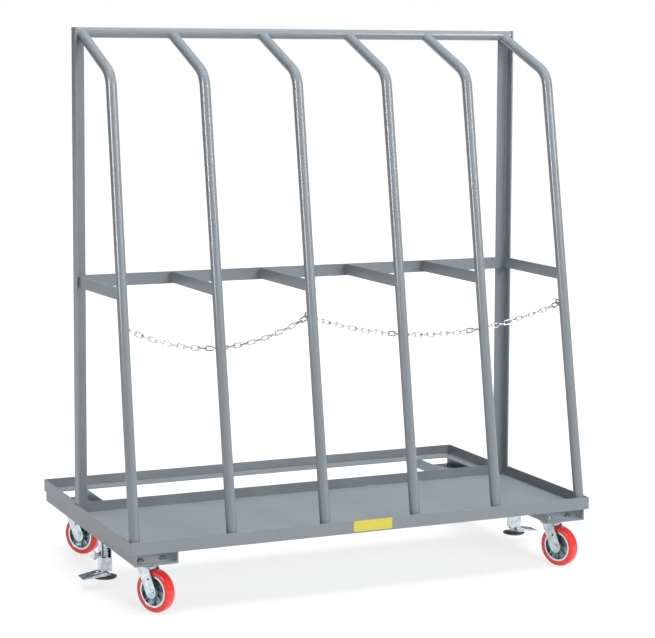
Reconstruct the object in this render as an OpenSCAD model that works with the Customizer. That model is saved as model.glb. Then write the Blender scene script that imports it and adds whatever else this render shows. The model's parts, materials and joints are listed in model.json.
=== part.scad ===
// Mobile rack for storing bars and pipes upright, on four swivel casters with two floor locks.
// X runs from left to right, Y from the front to the back and Z up from the floor.

/* [Overall] */
// Width over the front section of the base
rack_w = 1524; // [1490:1:1590]
// Depth from the front rail to the rear rail
rack_d = 914; // [840:1:1050]
// Height from the floor to the top of the uprights
rack_h = 1698; // [1600:1:1900]

/* [Base frame] */
// Leg of the angles that edge the base
angle_leg = 38.1; // [34:0.1:44]
// Wall of those angles
angle_t = 3.2; // [2.5:0.1:5]
// Depth of the front section, which carries the deck
deck_d = 548.2; // [500:0.1:640]
// Thickness of the deck plate
deck_t = 2.7; // [2:0.1:5]
// Gap between the deck plate's edges and the angles
deck_gap = 0.4; // [0.2:0.1:1]
// How far the rear section is narrower on each side
rear_inset = 10; // [4:0.5:20]
// Width of the channels under the base
channel_w = 131; // [122:1:160]
// Height of the channels
channel_h = 34; // [28:1:50]
// Wall of the channels
channel_t = 4.8; // [3.5:0.1:6.5]
// Distance from the base's side to the channel's outer flange
channel_inset = 16.2; // [14:0.1:24]
// How far the channels' ends stay behind the front and rear faces
channel_setback = 1.5; // [0.5:0.1:6]

/* [Uprights and rails] */
// Leg of the rear upright angles
post_leg = 38; // [34:0.5:44]
// Wall of the upright angles
post_t = 4.8; // [3.5:0.1:6]
// Gap between a rail's end or back and the piece it is welded to
rail_gap = 0.15; // [0.05:0.05:0.3]
// Height of the middle rail's top edge above the floor
mid_rail_top = 940; // [700:1:1200]
// Height of the middle rail's bar
mid_rail_h = 38; // [25:0.5:50]
// Thickness of the middle rail's bar
mid_rail_t = 4.8; // [3:0.1:6]

/* [Tubes and arms] */
// Outer diameter of the bent tubes
tube_d = 31.8; // [26:0.1:34]
// Wall of the bent tubes
tube_t = 2.1; // [1.5:0.1:3]
// Outer diameter of the top rail
rail_d = 31.8; // [28:0.1:36]
// Wall of the top rail
rail_t = 2.1; // [1.5:0.1:3]
// Distance from the base's side to the centre of an outer tube's foot
foot_inset_x = 21.6; // [20.4:0.1:30]
// Distance from the base's front to the centres of the tubes' feet
foot_inset_y = 21; // [20.4:0.1:30]
// Width of the four equal bays, from tube centre to tube centre
bay_w = 300; // [270:0.5:320]
// Backward lean of the tubes' lower stretch in degrees
tube_lean = 9.37; // [7:0.01:11]
// Inward lean of the two outer tubes in degrees
side_lean = 0.38; // [0.3:0.01:0.6]
// Slope of the tubes' upper stretch above level in degrees
tube_rise = 23.1; // [15:0.1:30]
// Radius of the tubes' bend at the centre line
bend_r = 76; // [50:1:100]
// How far below the top rail's centre the tubes meet it
aim_drop = 5.5; // [0:0.5:7]
// Height of the arms' flat bar
arm_h = 35; // [25:0.5:45]
// Thickness of the arms' flat bar
arm_t = 4.8; // [3:0.1:6]

/* [Chains] */
// Height of the chains' ends above the floor
chain_z = 826; // [700:1:860]
// Wire diameter of the chain links and eyes
wire_d = 4.5; // [3.5:0.1:5]
// Inner length of a chain link
link_inner_l = 23; // [22.8:0.05:23.2]
// Inner width of a chain link
link_inner_w = 8; // [7.5:0.1:8.6]
// Slack between neighbouring links
link_slack = 0.35; // [0.3:0.05:0.4]
// Spare length of the left chain in percent of its span
left_spare = 4.2; // [2:0.1:8]
// Spare length of the right chain in percent of its span
right_spare = 1.8; // [1:0.1:6]
// Distance from a tube's centre to a chain eye along the rack
eye_offset = 7.5; // [7:0.1:8.5]
// Gap between the tubes' backs and the chain links
chain_gap = 3.5; // [2.5:0.1:6]

/* [Casters] */
// Diameter of the wheels
wheel_d = 127; // [110:1:140]
// Width of the wheels' tread
tread_w = 32; // [26:0.5:40]
// Thickness of the tread
tread_t = 16; // [10:0.5:22]
// Radius of the tread's shoulders
tread_round = 9; // [4:0.5:9]
// Width of the hub's rim
rim_w = 30; // [22:0.5:32]
// Thickness of the hub's rim
rim_t = 5.5; // [4:0.5:7]
// Thickness of the hub's web
hub_web_t = 9; // [6:0.5:14]
// Radius of the hub's boss
boss_r = 17; // [13:0.5:20]
// Length of the hub's boss
boss_l = 36; // [33:0.5:37]
// Number of ribs in the hub
rib_count = 8; // [5:1:10]
// Thickness of a rib
rib_t = 4; // [3:0.5:6]
// Radius of the wheel axles and of the swivel pins
axle_r = 6.35; // [5:0.05:7.5]
// Radial running clearance of the wheels and forks on their pins
running_gap = 0.05; // [0.03:0.01:0.09]
// Distance from the swivel axis to the wheel's axle
trail = 36; // [30:0.5:44]
// Angle in degrees to which the front left caster is turned
front_left_turn = 30; // [-40:1:40]
// Angle in degrees to which the front right caster is turned
front_right_turn = 23; // [-40:1:40]
// Angle in degrees to which the rear left caster is turned
rear_left_turn = 34; // [-40:1:40]
// Angle in degrees to which the rear right caster is turned
rear_right_turn = 27; // [-40:1:40]
// Wall of the forks
fork_t = 4; // [3:0.1:5]
// Inner width of the forks
fork_inner_w = 38; // [37.5:0.5:46]
// Clearance between the wheel's top and the fork's crown
fork_top_gap = 4; // [3:0.1:8]
// Radius of the forks' ends around the axle
fork_end_r = 19; // [14:0.5:22]
// Width of the forks' legs at the crown
fork_leg_w = 44; // [38:1:50]
// Height of the swivel race between the fork and its plate
race_h = 15.2; // [13:0.1:20]
// Radius of the fork's half of the swivel race
race_r = 30; // [24:0.5:32]
// Gap between the two halves of the swivel race
race_gap = 0.3; // [0.25:0.05:0.5]
// Thickness of the caster plates
plate_t = 4.8; // [4:0.1:8]
// Width of the caster plates across the channel
plate_w = 101.6; // [98:0.1:108]
// Length of the caster plates along the channel
plate_l = 114.3; // [112:0.1:122]
// Distance between a plate's bolt holes across the channel
hole_span_w = 66.7; // [64:0.1:74]
// Distance between a plate's bolt holes along the channel
hole_span_l = 92; // [90:0.1:98]
// Distance from the base's front or back to the swivel axes
caster_inset_y = 96; // [90:0.5:110]

/* [Bolts] */
// Radius of the mounting bolts
bolt_r = 4.76; // [4:0.01:5]
// Radial clearance of the bolts in their holes
bolt_gap = 0.44; // [0.3:0.01:0.8]
// Width across the flats of the bolts' heads and nuts
bolt_flats = 14.3; // [13:0.1:15]
// Height of the bolts' heads
bolt_head_h = 6; // [4:0.5:7]
// Height of the nuts
nut_h = 6; // [5:0.5:9]
// How far the bolts stand out of their nuts
bolt_end = 2; // [1:0.5:6]

/* [Floor locks] */
// Distance from the base's side to the centre of a floor lock
lock_x = 48; // [44:0.5:56]
// Distance from the base's front to the floor locks
lock_y = 385; // [300:1:450]
// Width and depth of a lock's housing
lock_w = 34; // [32:0.5:40]
// Wall of a lock's housing
lock_t = 3; // [2:0.1:4]
// Height of a lock's guide sleeve above the floor
sleeve_z0 = 50; // [48:0.5:56]
// Height of the top of the guide sleeve above the floor
sleeve_z1 = 92; // [80:0.5:94]
// Thickness of the flange that a lock is bolted by
flange_t = 4; // [3:0.1:6]
// Distance between a lock's two bolts
flange_span = 60; // [58:0.5:70]
// Radius of a lock's plunger
plunger_r = 10; // [8:0.1:10.5]
// Travel of a lock's pad down to the floor
lock_travel = 28; // [24:0.5:30]
// Radius of a lock's pad
pad_r = 36; // [30:0.5:40]
// Thickness of a lock's pad
pad_h = 8; // [6:0.5:9]
// Width of a lock's foot pedal
pedal_w = 52; // [50:0.5:60]
// How far a foot pedal reaches out past the base's side
pedal_reach = 30; // [20:0.5:40]
// Thickness of the pedals
pedal_t = 3; // [2:0.1:4]
// Radius of the foot pedal's cross pin
pedal_pin_r = 4; // [3:0.1:5]
// Length of a foot pedal's tread
pedal_l = 42; // [36:0.5:48]
// Width of the release pedal
release_w = 30; // [26:0.5:34]
// Height of the release pedal's tread
release_h = 23; // [18:0.5:28]
// Distance from the release pedal's pivot out to its tread
release_l = 13; // [10:0.5:20]
// Outward tilt of the release pedal's tread in degrees
release_tilt = 10; // [0:1:20]
// Radius of the release pedal's pivot pin
release_pin_r = 2.5; // [2:0.1:3]

/* [Hidden] */
$fn = 64;
// Overlap that makes a cut pass right through a face
through = 1;

// Heights of the stacked layers, from the floor up
axle_z = wheel_d / 2;
crown_z = wheel_d + fork_top_gap;
race_z = crown_z + fork_t;
plate_z = race_z + race_h;
base_z = plate_z + plate_t;
frame_z = base_z + channel_h;
deck_z = frame_z + angle_t + deck_t;

// Lines that the upper pieces share
cross_y = deck_d - angle_t;
post_x = angle_t;
inner_x = post_x + post_t;
back_y = cross_y - post_t;
rail_y = back_y - rail_gap - rail_d / 2;
rail_z = rack_h - rail_d / 2;
mid_rail_y = back_y - mid_rail_t;
arm_z = mid_rail_top - arm_h;

// The tubes' corner, where the lower and the upper stretch would cross
aim_z = rail_z - aim_drop;
lean_run = tan(tube_lean);
rise_run = tan(tube_rise);
reach = rail_y - foot_inset_y + deck_z * lean_run;
corner_z = (aim_z - reach * rise_run) / (1 - lean_run * rise_run);
corner_y = foot_inset_y + (corner_z - deck_z) * lean_run;
tube_bend = 90 - tube_lean - tube_rise;
bend_cut = bend_r * tan(tube_bend / 2);
// The upper stretch starts inside the bend and is a hair thinner, so that the two join in one solid
bend_overlap = 0.5;
bend_step = 0.2;
lower_l = (corner_z - deck_z) / cos(tube_lean) - bend_cut;
upper_l = (rail_y - corner_y) / cos(tube_rise) - bend_cut;

tube_count = 6;
function tube_x(i) = i <= 4 ? foot_inset_x + (i - 1) * bay_w
    : rack_w - foot_inset_x - (tube_count - i) * bay_w;
function tube_side(i) = i == 1 ? side_lean : i == tube_count ? -side_lean : 0;
// Centre of a tube's lower stretch at height z
function tube_x_at(i, z) = tube_x(i) + (z - deck_z) * tan(tube_side(i)) / cos(tube_lean);
function tube_y_at(z) = foot_inset_y + (z - deck_z) * lean_run;

// Chains hang in catenaries between eyes welded to the backs of tubes 1, 3 and 6
chain_y = tube_y_at(chain_z) + tube_d / 2 / cos(tube_lean) + chain_gap + link_inner_w / 2 + wire_d;
chain_pitch = link_inner_l - link_slack;
end_reach = (link_inner_l - wire_d) / 2 - link_slack;
eye_r = 7;
left_chain_x0 = tube_x_at(1, chain_z) + eye_offset;
left_chain_x1 = tube_x_at(3, chain_z) - eye_offset;
right_chain_x0 = tube_x_at(3, chain_z) + eye_offset;
right_chain_x1 = tube_x_at(tube_count, chain_z) - eye_offset;
// Odd number of links that spans a gap with the spare length given in percent
function link_count(span, spare) =
    2 * ceil((span * (1 + spare / 100) - 2 * end_reach) / chain_pitch / 2) + 1;
left_links = link_count(left_chain_x1 - left_chain_x0, left_spare);
right_links = link_count(right_chain_x1 - right_chain_x0, right_spare);

// Casters stand under the middle of each channel
corners = ["front_left", "front_right", "rear_left", "rear_right"];
caster_x = channel_inset + channel_w / 2;
function corner_x(i) = i % 2 == 0 ? caster_x : rack_w - caster_x;
function corner_y_of(i) = i < 2 ? caster_inset_y : rack_d - caster_inset_y;
rim_r = wheel_d / 2 - tread_t;
fork_w = fork_inner_w + 2 * fork_t;
turns = [front_left_turn, front_right_turn, rear_left_turn, rear_right_turn];
// How far the legs' tops are shifted towards the axle, and the place of their hole above and behind it
leg_shift = 4;
leg_hole_r = 3.5;
leg_hole_rise = 36.5;
leg_hole_back = 10.5;
pin_head_r = 11;
pin_head_h = 4.5;

// Floor locks
lock_bolts_y = flange_span / 2;
flange_l = flange_span + 20;
pad_z = lock_travel;
foot_z = pad_z + pad_h;
block_z = sleeve_z0 - race_gap;
pedal_pin_z = (foot_z + block_z) / 2 + 1;
collar_z = sleeve_z1 + lock_travel + 8;
release_eye_r = release_pin_r + 2;
release_x = lock_w / 2 + release_eye_r + 0.5;
release_z = sleeve_z1 + 6;
release_pin_end = 1;
pedal_pin_end = 1.5;

// Node names

paint = "slategray";
zinc = "silver";

// Moves a shape from the front left corner's frame to the rack's own frame
module from_corner() {
    translate([-rack_w / 2, -rack_d / 2, 0]) children();
}

// Mirrors a shape from the left side to the right side
module other_side() {
    translate([rack_w, 0, 0]) mirror([1, 0, 0]) children();
}

// Box from its low corner to its high corner
module box(low, high) {
    translate(low) cube(high - low);
}

// Rectangle centred on the origin with round corners
module round_rect(w, l, r) {
    square([w - 2 * r, l], center = true);
    square([w, l - 2 * r], center = true);
    for (x = [-1, 1], y = [-1, 1])
        translate([x * (w / 2 - r), y * (l / 2 - r)]) circle(r);
}

// Angle along X with its upright leg in front, cut to 45 degrees where it meets another angle
module angle_bar(length, near_mitre, far_mitre) {
    tall = angle_leg + 2 * through;
    difference() {
        union() {
            cube([length, angle_t, angle_leg]);
            cube([length, angle_leg, angle_t]);
        }
        if (near_mitre)
            translate([0, 0, -through]) rotate([0, 0, 45]) cube([2 * angle_leg, 2 * angle_leg, tall]);
        if (far_mitre)
            translate([length, 0, -through]) rotate([0, 0, 45]) cube([2 * angle_leg, 2 * angle_leg, tall]);
    }
}

module front_rail() {
    color(paint) from_corner() translate([0, 0, frame_z]) angle_bar(rack_w, true, true);
}

// Side angle of the front section, which stops at the cross rail's upright leg
module side_deck_rail() {
    difference() {
        translate([0, 0, frame_z]) mirror([1, -1, 0]) angle_bar(deck_d, true, false);
        box([angle_t, cross_y, frame_z - through],
            [angle_leg + through, deck_d + through, frame_z + angle_leg]);
    }
}

module left_deck_rail() {
    color(paint) from_corner() side_deck_rail();
}

module right_deck_rail() {
    color(paint) from_corner() other_side() side_deck_rail();
}

// Rear edge of the front section, with its level leg under the deck
module cross_rail() {
    color(paint) from_corner() {
        box([angle_t, cross_y, frame_z], [rack_w - angle_t, deck_d, frame_z + angle_leg]);
        box([angle_leg, deck_d - angle_leg, frame_z], [rack_w - angle_leg, deck_d, frame_z + angle_t]);
    }
}

module deck() {
    edge = angle_t + deck_gap;
    color(paint) from_corner()
        box([edge, edge, deck_z - deck_t], [rack_w - edge, cross_y - deck_gap, deck_z]);
}

module rear_rail() {
    color(paint) from_corner()
        translate([rear_inset, rack_d, frame_z]) mirror([0, 1, 0])
            angle_bar(rack_w - 2 * rear_inset, true, true);
}

module side_rear_rail() {
    translate([rear_inset, deck_d, frame_z]) mirror([1, -1, 0])
        angle_bar(rack_d - deck_d, false, true);
}

module left_rear_rail() {
    color(paint) from_corner() side_rear_rail();
}

module right_rear_rail() {
    color(paint) from_corner() other_side() side_rear_rail();
}

// Channel with its flanges up, drilled for the casters and the floor lock
module side_channel() {
    hole_r = bolt_r + bolt_gap;
    difference() {
        box([channel_inset, channel_setback, base_z],
            [channel_inset + channel_w, rack_d - channel_setback, frame_z]);
        box([channel_inset + channel_t, 0, base_z + channel_t],
            [channel_inset + channel_w - channel_t, rack_d, frame_z + through]);
        for (i = [0, 2])
            translate([caster_x, corner_y_of(i), base_z - through])
                plate_holes(hole_r, channel_t + 2 * through);
        translate([lock_x, lock_y, base_z - through])
            lock_holes(hole_r, channel_t + 2 * through);
    }
}

module left_channel() {
    color(paint) from_corner() side_channel();
}

module right_channel() {
    color(paint) from_corner() other_side() side_channel();
}

// Upright angle that stands on the deck inside the side angle and in front of the cross rail
module side_upright() {
    box([post_x, cross_y - post_leg, deck_z], [post_x + post_t, cross_y, rack_h]);
    box([post_x, back_y, deck_z], [post_x + post_leg, cross_y, rack_h]);
}

module left_upright() {
    color(paint) from_corner() side_upright();
}

module right_upright() {
    color(paint) from_corner() other_side() side_upright();
}

// Cylinder along X on the top rail's axis
module rail_rod(diameter, x0, x1) {
    translate([x0, rail_y, rail_z]) rotate([0, 90, 0]) cylinder(d = diameter, h = x1 - x0);
}

module top_rail() {
    color(paint) from_corner() difference() {
        rail_rod(rail_d, inner_x + rail_gap, rack_w - inner_x - rail_gap);
        rail_rod(rail_d - 2 * rail_t, 0, rack_w);
    }
}

module mid_rail() {
    color(paint) from_corner()
        box([inner_x + rail_gap, mid_rail_y, mid_rail_top - mid_rail_h],
            [rack_w - inner_x - rail_gap, back_y, mid_rail_top]);
}

// Puts a shape on the foot of tube i, with Z along the tube
module at_foot(i) {
    translate([tube_x(i), foot_inset_y, deck_z]) rotate([-tube_lean, tube_side(i), 0]) children();
}

// Solid bar along a tube's path, from below the deck to the top rail
module tube_path(diameter) {
    below = tube_d;
    translate([0, 0, -below]) cylinder(d = diameter, h = lower_l + below);
    translate([0, bend_r, lower_l]) {
        rotate([90, 0, -90])
            rotate_extrude(angle = tube_bend) translate([bend_r, 0]) circle(d = diameter);
        rotate([-tube_bend, 0, 0]) translate([0, -bend_r, -bend_overlap])
            cylinder(d = diameter - bend_step, h = upper_l + bend_overlap);
    }
}

// Bent tube, cut level on the deck and coped round the top rail
module tube(i) {
    color(paint) from_corner() difference() {
        at_foot(i) tube_path(tube_d);
        at_foot(i) tube_path(tube_d - 2 * tube_t);
        box([tube_x(i) - tube_d, -tube_d, deck_z - 2 * tube_d],
            [tube_x(i) + tube_d, 3 * tube_d, deck_z]);
        rail_rod(rail_d + 2 * rail_gap, tube_x(i) - 2 * tube_d, tube_x(i) + 2 * tube_d);
    }
}

// Flat bar from the middle rail forward to tube i, coped round the tube
module arm(i) {
    mid_z = arm_z + arm_h / 2;
    front_x = tube_x_at(i, mid_z);
    wall_x = inner_x + arm_t / 2 + 2 * rail_gap;
    rear_x = i == 1 ? wall_x : i == tube_count ? rack_w - wall_x : front_x;
    run = mid_rail_y - tube_y_at(mid_z);
    turn = atan((front_x - rear_x) / run);
    color(paint) from_corner() difference() {
        translate([rear_x, mid_rail_y, arm_z]) rotate([0, 0, turn])
            translate([-arm_t / 2, -run / cos(turn), 0])
                cube([arm_t, run / cos(turn) + arm_t, arm_h]);
        box([rear_x - 2 * arm_t, mid_rail_y, arm_z - through],
            [rear_x + 2 * arm_t, mid_rail_y + 2 * arm_t, mid_rail_top + through]);
        at_foot(i) cylinder(d = tube_d + 2 * rail_gap, h = lower_l);
    }
}

// Loop of wire in the YZ plane behind a tube, whose lower leg lies on the chain's pivot line
module eye_loop(x) {
    start_y = tube_y_at(chain_z);
    turn_y = chain_y + wire_d / 2;
    leg = turn_y - start_y;
    for (side = [-1, 1])
        translate([x, start_y, chain_z + eye_r + side * eye_r])
            rotate([-90, 0, 0]) cylinder(d = wire_d, h = leg);
    translate([x, turn_y, chain_z + eye_r]) rotate([90, 0, 90]) rotate([0, 0, -90])
        rotate_extrude(angle = 180) translate([eye_r, 0]) circle(d = wire_d);
}

module chain_eye(i, side) {
    difference() {
        eye_loop(tube_x_at(i, chain_z) + side * eye_offset);
        at_foot(i) cylinder(d = tube_d + 2 * rail_gap, h = lower_l);
    }
}

module chain_eyes() {
    color(paint) from_corner() {
        chain_eye(1, 1);
        chain_eye(3, -1);
        chain_eye(3, 1);
        chain_eye(tube_count, -1);
    }
}

// Chain link centred on the origin, long along X and lying in the XZ plane
module chain_link() {
    half_w = (link_inner_w + wire_d) / 2;
    half_l = link_inner_l / 2 - link_inner_w / 2;
    for (side = [-1, 1]) {
        translate([-half_l, 0, side * half_w]) rotate([0, 90, 0]) cylinder(d = wire_d, h = 2 * half_l);
        translate([side * half_l, 0, 0]) rotate([90, 0, 0]) rotate([0, 0, -side * 90])
            rotate_extrude(angle = 180) translate([half_w, 0]) circle(d = wire_d);
    }
}

// Length of a hanging chain from eye to eye
function chain_length(links) = (links - 1) * chain_pitch + 2 * end_reach;

// Catenary constant for a span and a chain length, by Newton's method
function catenary(span, length, a, steps) = steps == 0 ? a
    : catenary(span, length, a - catenary_step(span, length, a), steps - 1);
function catenary_step(span, length, a) = (2 * a * sinh(span / 2 / a) - length)
    / (2 * sinh(span / 2 / a) - span / a * cosh(span / 2 / a));
function sinh(x) = (exp(x) - exp(-x)) / 2;
function cosh(x) = (exp(x) + exp(-x)) / 2;
function asinh(x) = ln(x + sqrt(x * x + 1));

// Links from eye to eye, each second one turned a quarter round the chain's line
module chain(x0, x1, links) {
    span = x1 - x0;
    length = chain_length(links);
    first = sqrt(pow(span, 3) / 24 / (length - span));
    a = catenary(span, length, first, 6);
    color("dimgray") from_corner() translate([(x0 + x1) / 2, chain_y, chain_z - a * cosh(span / 2 / a)])
        for (k = [0 : links - 1]) {
            s = end_reach + k * chain_pitch - length / 2;
            translate([a * asinh(s / a), 0, a * cosh(asinh(s / a))])
                rotate([0, -atan(s / a), 0]) rotate([k % 2 * 90, 0, 0]) chain_link();
        }
}

// Bolt holes or shanks of a caster plate
module plate_holes(radius, height) {
    for (x = [-1, 1], y = [-1, 1])
        translate([x * hole_span_w / 2, y * hole_span_l / 2, 0]) cylinder(r = radius, h = height);
}

module lock_holes(radius, height) {
    for (y = [-1, 1])
        translate([0, y * lock_bolts_y, 0]) cylinder(r = radius, h = height);
}

// Hexagonal prism of the bolts' width across flats
module hexagon(height) {
    cylinder(r = bolt_flats / 2 / cos(30), h = height, $fn = 6);
}

// Bolt from below through a plate of the given thickness and the channel, with its nut
module bolt(plate) {
    grip = plate + channel_t;
    translate([0, 0, -bolt_head_h]) hexagon(bolt_head_h);
    translate([0, 0, -bolt_head_h / 2]) cylinder(r = bolt_r, h = bolt_head_h / 2 + grip + nut_h + bolt_end);
    translate([0, 0, grip]) hexagon(nut_h);
}

module mounting_bolts() {
    color(zinc) from_corner() {
        for (i = [0 : 3], x = [-1, 1], y = [-1, 1])
            translate([corner_x(i) + x * hole_span_w / 2, corner_y_of(i) + y * hole_span_l / 2, plate_z])
                bolt(plate_t);
        for (x = [lock_x, rack_w - lock_x], y = [-1, 1])
            translate([x, lock_y + y * lock_bolts_y, base_z - flange_t]) bolt(flange_t);
    }
}

// Puts a shape under a corner, with the swivel axis on Z
module at_caster(i) {
    translate([corner_x(i), corner_y_of(i), 0]) children();
}

// Puts a shape in a turned fork, with the wheel's axle along X at the given trail
module in_fork(i) {
    from_corner() at_caster(i) rotate([0, 0, turns[i]]) children();
}

module on_axle(i) {
    in_fork(i) translate([0, -trail, axle_z]) rotate([0, 90, 0]) children();
}

// Top plate with the upper race and the swivel pin that holds the fork
module caster_plate(i) {
    skirt_r = race_r + 1.2;
    cup_r = skirt_r + 3.5;
    roof_z = race_z + race_h / 2;
    color(zinc) from_corner() at_caster(i) {
        difference() {
            translate([0, 0, plate_z]) linear_extrude(plate_t) round_rect(plate_w, plate_l, 6);
            translate([0, 0, plate_z - through])
                plate_holes(bolt_r + bolt_gap, plate_t + 2 * through);
        }
        rotate_extrude() polygon([
            [0, plate_z], [cup_r + 2, plate_z], [cup_r, plate_z - 3], [cup_r, race_z + 3],
            [skirt_r, race_z + 3], [skirt_r, roof_z], [axle_r, roof_z], [axle_r, crown_z - race_gap],
            [pin_head_r, crown_z - race_gap], [pin_head_r, crown_z - race_gap - pin_head_h + 1],
            [pin_head_r - 1, crown_z - race_gap - pin_head_h], [0, crown_z - race_gap - pin_head_h]]);
    }
}

// Point where a line from p touches the circle round c, on the given side
function tangent_point(p, c, r, side) =
    let (d = norm(p - c), a = atan2(p.y - c.y, p.x - c.x) + side * acos(r / d))
    c + r * [cos(a), sin(a)];

// Side view of a fork, from its crown down to the round end at the axle
module fork_side() {
    axle = [-trail, axle_z];
    front = [-fork_leg_w / 2 - leg_shift, race_z];
    rear = [fork_leg_w / 2 - leg_shift, race_z];
    difference() {
        union() {
            polygon([front, tangent_point(front, axle, fork_end_r, 1), axle,
                tangent_point(rear, axle, fork_end_r, -1), rear]);
            translate(axle) circle(fork_end_r);
        }
        translate(axle) circle(axle_r + running_gap);
        translate(axle + [leg_hole_back, leg_hole_rise]) circle(leg_hole_r);
    }
}

// End view of a fork, a bent strip with round shoulders
module fork_front() {
    shoulder = 8;
    difference() {
        union() {
            translate([-fork_w / 2, 0]) square([fork_w, race_z - shoulder]);
            translate([-fork_w / 2 + shoulder, 0]) square([fork_w - 2 * shoulder, race_z]);
            for (x = [-1, 1])
                translate([x * (fork_w / 2 - shoulder), race_z - shoulder]) circle(shoulder);
        }
        translate([-fork_inner_w / 2, -through])
            square([fork_inner_w, crown_z - shoulder + fork_t + through]);
        translate([-fork_inner_w / 2 + shoulder - fork_t, -through])
            square([fork_inner_w - 2 * (shoulder - fork_t), crown_z + through]);
        for (x = [-1, 1])
            translate([x * (fork_w / 2 - shoulder), race_z - shoulder]) circle(shoulder - fork_t);
    }
}

module fork(i) {
    race_top = race_z + race_h / 2 - race_gap;
    color(zinc) in_fork(i) difference() {
        union() {
            intersection() {
                translate([-fork_w / 2, 0, 0]) rotate([90, 0, 90]) linear_extrude(fork_w) fork_side();
                translate([0, trail + wheel_d, 0]) rotate([90, 0, 0])
                    linear_extrude(2 * (trail + wheel_d)) fork_front();
            }
            rotate_extrude() polygon([
                [0, crown_z], [race_r + 2, crown_z], [race_r + 2, race_z],
                [race_r, race_z + 1], [race_r, race_top - 2], [race_r - 2, race_top], [0, race_top]]);
        }
        translate([0, 0, crown_z - through])
            cylinder(r = axle_r + running_gap, h = race_top - crown_z + 2 * through);
    }
}

// Axle bolt with a low round head on one side and a nut on the other
module axle(i) {
    head_r = 9.5;
    head_h = 3;
    color(zinc) on_axle(i) {
        translate([0, 0, -fork_w / 2 - head_h]) cylinder(r1 = head_r - 1, r2 = head_r, h = head_h);
        translate([0, 0, -fork_w / 2 - head_h / 2]) cylinder(r = axle_r, h = fork_w + head_h / 2 + nut_h + 2);
        translate([0, 0, fork_w / 2]) cylinder(r = head_r * 1.08, h = nut_h, $fn = 6);
    }
}

// Cored wheel hub with ribs on both sides of its web
module hub(i) {
    rim_in = rim_r - rim_t;
    rib_w = (hub_web_t + rim_w) / 2;
    color("lightgray") on_axle(i) difference() {
        union() {
            rotate_extrude() polygon([
                [0, -boss_l / 2], [boss_r, -boss_l / 2], [boss_r, -hub_web_t / 2],
                [rim_in, -hub_web_t / 2], [rim_in, -rim_w / 2], [rim_r, -rim_w / 2],
                [rim_r, rim_w / 2], [rim_in, rim_w / 2], [rim_in, hub_web_t / 2],
                [boss_r, hub_web_t / 2], [boss_r, boss_l / 2], [0, boss_l / 2]]);
            for (k = [0 : rib_count - 1])
                rotate([0, 0, k * 360 / rib_count])
                    translate([boss_r - 2, -rib_t / 2, -rib_w / 2])
                        cube([rim_in - boss_r + 3, rib_t, rib_w]);
        }
        translate([0, 0, -boss_l / 2 - through])
            cylinder(r = axle_r + running_gap, h = boss_l + 2 * through);
    }
}

// Tread with round shoulders, bonded to the hub's rim
module tread(i) {
    color("tomato") on_axle(i) rotate_extrude() difference() {
        union() {
            translate([rim_r, -tread_w / 2]) square([tread_t - tread_round, tread_w]);
            translate([rim_r, tread_round - tread_w / 2]) square([tread_t, tread_w - 2 * tread_round]);
            for (side = [-1, 1])
                translate([wheel_d / 2 - tread_round, side * (tread_w / 2 - tread_round)]) circle(tread_round);
        }
        translate([0, -tread_w]) square([rim_r, 2 * tread_w]);
    }
}

// Puts a shape at the left floor lock, or mirrored at the right one
module at_lock(side) {
    from_corner() {
        if (side == "left") translate([lock_x, lock_y, 0]) children();
        if (side == "right") other_side() translate([lock_x, lock_y, 0]) children();
    }
}

// Housing bolted under a channel, open to the front above its guide sleeve
module lock_housing(side) {
    half = lock_w / 2;
    top_z = base_z - flange_t;
    lug_y = release_w / 2 - pedal_t - race_gap - lock_t / 2;
    color(zinc) at_lock(side) difference() {
        union() {
            box([-half, -half, sleeve_z0], [half, half, top_z]);
            box([-half, -flange_l / 2, top_z], [half, flange_l / 2, base_z]);
            for (y = [-1, 1])
                translate([0, y * lug_y + lock_t / 2, 0]) rotate([90, 0, 0]) linear_extrude(lock_t) {
                    translate([-release_x, release_z]) circle(release_eye_r);
                    translate([-release_x, release_z - release_eye_r])
                        square([release_x - half + through, 2 * release_eye_r]);
                }
        }
        box([lock_t - half, -half - through, sleeve_z1], [half - lock_t, half - lock_t, top_z]);
        translate([0, 0, sleeve_z0 - through])
            cylinder(r = plunger_r + running_gap, h = sleeve_z1 - sleeve_z0 + 2 * through);
        translate([0, 0, top_z - through]) lock_holes(bolt_r + bolt_gap, flange_t + 2 * through);
        translate([-release_x, -release_w, release_z]) rotate([-90, 0, 0])
            cylinder(r = release_pin_r + running_gap, h = 2 * release_w);
    }
}

// Plunger rod with its collar above and the block that carries the pedal and the pad below
module lock_plunger(side) {
    block_r = plunger_r + 2.5;
    color(zinc) at_lock(side) difference() {
        union() {
            translate([0, 0, foot_z]) cylinder(r = block_r, h = block_z - foot_z);
            translate([0, 0, foot_z]) cylinder(r = plunger_r, h = collar_z + 8 - foot_z);
            translate([0, 0, collar_z]) cylinder(r = block_r, h = 6);
        }
        translate([0, -lock_w, pedal_pin_z]) rotate([-90, 0, 0])
            cylinder(r = pedal_pin_r + running_gap, h = 2 * lock_w);
    }
}

// Round pad with a sloping top and a rounded rim
module lock_pad(side) {
    color("dimgray") at_lock(side) rotate_extrude() polygon([
        [0, pad_z], [pad_r - 2, pad_z], [pad_r, pad_z + 2], [pad_r, pad_z + pad_h / 2],
        [plunger_r + 8, foot_z], [0, foot_z]]);
}

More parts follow.
